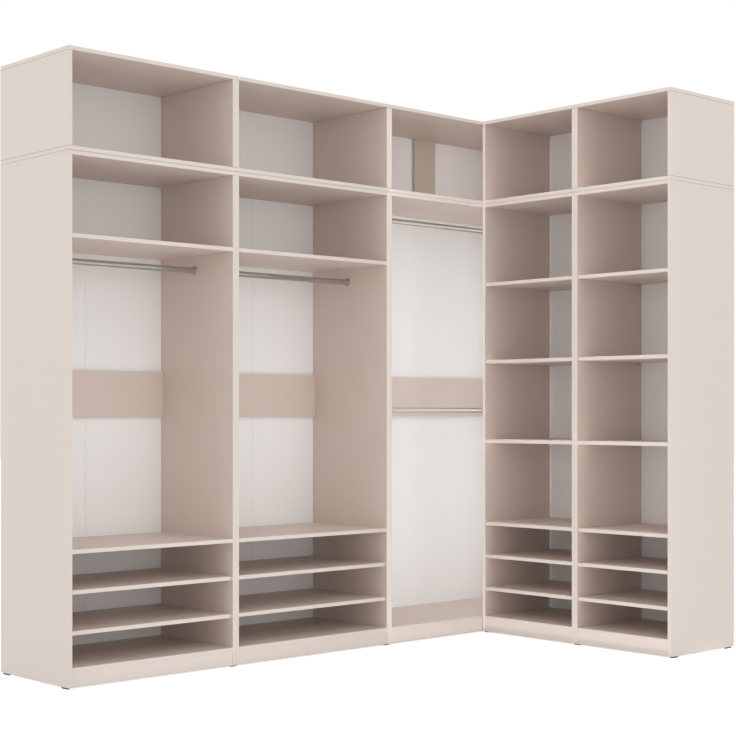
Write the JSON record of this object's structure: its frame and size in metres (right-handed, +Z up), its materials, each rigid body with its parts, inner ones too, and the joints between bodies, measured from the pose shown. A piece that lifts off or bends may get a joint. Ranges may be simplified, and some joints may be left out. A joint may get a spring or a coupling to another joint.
{
  "type": "open-front wardrobe",
  "caption": "Open-front corner wardrobe of beige board, with hanging rails, shelves, shoe shelves and a row of top units over both wings.",
  "frame": {"origin": "on the floor, under the middle of the whole wardrobe's bounding box", "axes": "+X to the right along the long wing, +Y towards the wall behind it, +Z up; the short wing's open front faces -X"},
  "size_m": [3.2196, 1.8066, 2.75],
  "materials": {
    "board": "matte beige melamine-coated board",
    "back_sheet": "smooth white lacquered fibreboard",
    "rail": "polished chrome tube",
    "glide": "dark grey moulded plastic"
  },
  "bodies": {
    "root": {"hanging_a_left_side": "board", "hanging_a_right_side": "board", "hanging_a_top": "board", "hanging_a_base": "board", "hanging_a_back": "back_sheet", "hanging_a_loft_carcass": "board", "hanging_a_loft_back": "back_sheet", "hanging_a_hat_shelf": "board", "hanging_a_bench_shelf": "board", "hanging_a_shoe_shelf_upper": "board", "hanging_a_shoe_shelf_lower": "board", "hanging_a_rail": "rail", "hanging_b_left_side": "board", "hanging_b_right_side": "board", "hanging_b_top": "board", "hanging_b_base": "board", "hanging_b_back": "back_sheet", "hanging_b_loft_carcass": "board", "hanging_b_loft_back": "back_sheet", "hanging_b_hat_shelf": "board", "hanging_b_bench_shelf": "board", "hanging_b_shoe_shelf_upper": "board", "hanging_b_shoe_shelf_lower": "board", "hanging_b_rail": "rail", "corner_left_side": "board", "corner_right_side": "board", "corner_top": "board", "corner_base": "board", "corner_back": "back_sheet", "corner_loft_carcass": "board", "corner_loft_back": "back_sheet", "corner_rail_upper": "rail", "corner_rail_middle": "rail", "corner_loft_brace": "board", "shelf_a_left_side": "board", "shelf_a_right_side": "board", "shelf_a_top": "board", "shelf_a_base": "board", "shelf_a_back": "back_sheet", "shelf_a_loft_carcass": "board", "shelf_a_loft_back": "back_sheet", "shelf_a_shelf_high": "board", "shelf_a_shelf_middle": "board", "shelf_a_shelf_low": "board", "shelf_a_bench_shelf": "board", "shelf_a_shoe_shelf_upper": "board", "shelf_a_shoe_shelf_lower": "board", "shelf_b_left_side": "board", "shelf_b_right_side": "board", "shelf_b_top": "board", "shelf_b_base": "board", "shelf_b_back": "back_sheet", "shelf_b_loft_carcass": "board", "shelf_b_loft_back": "back_sheet", "shelf_b_shelf_high": "board", "shelf_b_shelf_middle": "board", "shelf_b_shelf_low": "board", "shelf_b_bench_shelf": "board", "shelf_b_shoe_shelf_upper": "board", "shelf_b_shoe_shelf_lower": "board"}
  },
  "joints": []
}
